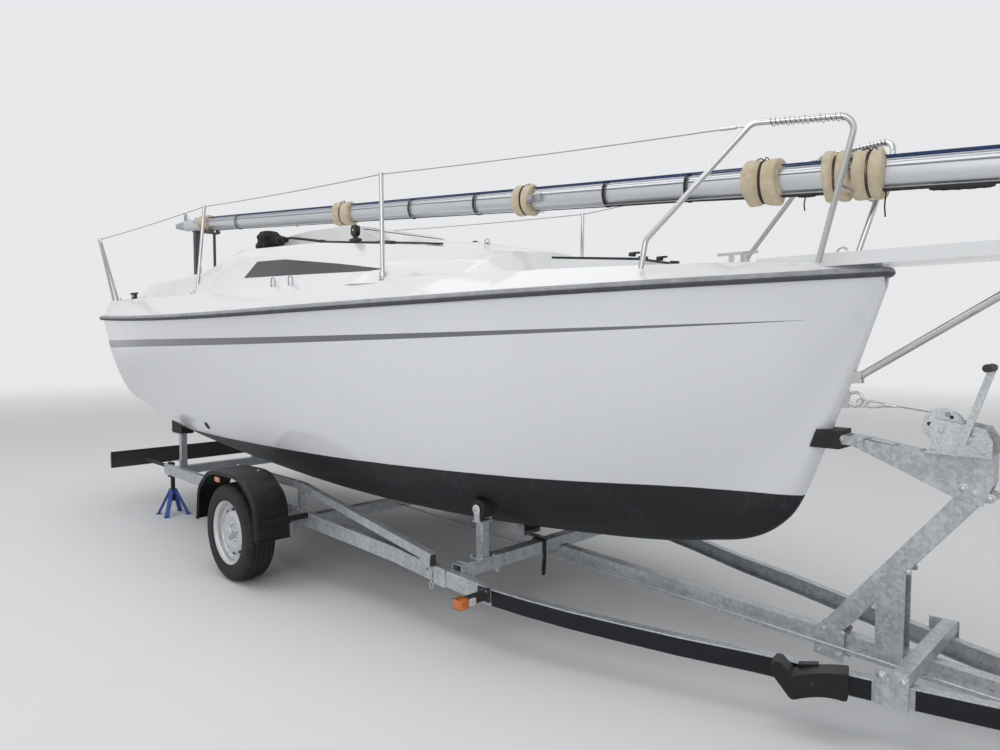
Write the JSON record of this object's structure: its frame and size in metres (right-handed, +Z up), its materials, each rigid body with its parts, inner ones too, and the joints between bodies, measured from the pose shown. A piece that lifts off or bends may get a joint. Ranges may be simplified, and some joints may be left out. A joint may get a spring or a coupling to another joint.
{
  "type": "trailer sailing yacht on road trailer",
  "caption": "Small cabin sailing yacht with lowered mast and bowsprit, strapped on a galvanised single-axle road trailer with bow winch and jockey wheel.",
  "frame": {"origin": "centre of the bounding box, on the ground", "axes": "+X to the bow and drawbar, +Y to port, +Z up"},
  "size_m": [8.9324, 2.57, 2.9102],
  "materials": {
    "gelcoat": "white gelcoat over glass fibre",
    "strake": "grey rubbing strake",
    "tinted_glass": "dark tinted acrylic",
    "liner": "cream moulding",
    "board": "varnished board",
    "stainless": "polished stainless tube",
    "anodised": "silver anodised",
    "cast_alloy": "grey casting",
    "grey_paint": "dark grey",
    "foam": "beige upholstery foam",
    "cloth": "black cloth",
    "black_plastic": "black plastic",
    "tyre": "road tyre",
    "rubber": "black rubber",
    "rim_paint": "silver steel wheel",
    "lamp_plastic": "amber and red lamp lenses",
    "blue_paint": "blue paint",
    "cast_iron": "black casting",
    "galvanised": "hot-dip galvanised steel"
  },
  "bodies": {
    "yacht_on_trailer": {"axle_tube": "galvanised", "bobstay_strut": "stainless", "bow_stop": "rubber", "bowsprit": "gelcoat", "brake_rod": "galvanised", "cabin_liner": "liner", "cabin_windows": "tinted_glass", "centre_beam": "galvanised", "coupling_head": "galvanised", "deck": "gelcoat", "deck_eyes_and_cleats": "stainless", "foam_pads": "foam", "forehatch_frame": "gelcoat", "frame_brackets": "galvanised", "front_crossmember": "galvanised", "halyard_bag": "cloth", "handbrake_lever": "galvanised", "hull": "gelcoat", "hull_rollers": "rubber", "jack_stand": "blue_paint", "jack_stand_post": "cast_iron", "jib_tracks": "black_plastic", "jockey_tube": "galvanised", "lamps": "lamp_plastic", "light_board": "black_plastic", "mast": "anodised", "mast_crutch": "grey_paint", "mast_fittings": "cast_alloy", "mudguards": "black_plastic", "nose_crossmember": "galvanised", "overrun_housing": "galvanised", "pulpit": "stainless", "pushpit": "stainless", "rear_crossmember": "galvanised", "rear_pads": "rubber", "roller_brackets": "galvanised", "rubbing_strake": "strake", "side_rails": "galvanised", "stanchions": "stainless", "stem_fittings": "stainless", "stiffening_bars": "galvanised", "swing_arms": "galvanised", "washboard": "board", "wheel_chock": "black_plastic", "winch_arm": "galvanised", "winch_frame": "galvanised", "winch_post": "galvanised"},
    "wheel_port": {"rim_port": "rim_paint", "tyre_port": "tyre"},
    "wheel_starboard": {"rim_starboard": "rim_paint", "tyre_starboard": "tyre"},
    "forehatch": {"forehatch_lid": "tinted_glass"},
    "sliding_hatch": {"companionway_hatch": "tinted_glass"},
    "winch_drum": {"winch_drum": "galvanised"},
    "winch_crank": {"winch_crank": "galvanised"},
    "jockey_inner_tube": {"jockey_inner_tube": "galvanised"},
    "jockey_fork": {"jockey_fork": "galvanised"},
    "jockey_wheel": {"jockey_wheel": "rubber"}
  },
  "joints": [
    {"name": "wheel_port_spin", "type": "hinge", "parent": "yacht_on_trailer", "child": "wheel_port", "pos_m": [-0.56, 1.18, 0.31], "axis": [0, 1, 0], "continuous": true},
    {"name": "wheel_starboard_spin", "type": "hinge", "parent": "yacht_on_trailer", "child": "wheel_starboard", "pos_m": [-0.56, -1.18, 0.31], "axis": [0, 1, 0], "continuous": true},
    {"name": "forehatch_hinge", "type": "hinge", "parent": "yacht_on_trailer", "child": "forehatch", "pos_m": [1.27176, 0, 1.97678], "axis": [0, -1, 0], "range_deg": [0, 25]},
    {"name": "companionway_slide", "type": "slide", "parent": "yacht_on_trailer", "child": "sliding_hatch", "axis": [1, 0, 0], "range_m": [0, 0.5]},
    {"name": "winch_drum_spin", "type": "hinge", "parent": "yacht_on_trailer", "child": "winch_drum", "pos_m": [3.101, 0, 1.193], "axis": [0, 1, 0], "continuous": true},
    {"name": "winch_crank_spin", "type": "hinge", "parent": "yacht_on_trailer", "child": "winch_crank", "pos_m": [3.18183, 0, 1.16531], "axis": [0, 1, 0], "continuous": true},
    {"name": "jockey_height", "type": "slide", "parent": "yacht_on_trailer", "child": "jockey_inner_tube", "axis": [0, 0, -1], "range_m": [0, 0.2]},
    {"name": "jockey_swivel", "type": "hinge", "parent": "jockey_inner_tube", "child": "jockey_fork", "pos_m": [4.145, -0.112, 0.21], "axis": [0, 0, 1], "continuous": true},
    {"name": "jockey_wheel_spin", "type": "hinge", "parent": "jockey_fork", "child": "jockey_wheel", "pos_m": [4.105, -0.112, 0.1], "axis": [0, 1, 0], "continuous": true}
  ],
  "couplings": [
    {"joint": "winch_crank_spin", "follows": "winch_drum_spin", "ratio": -5}
  ]
}
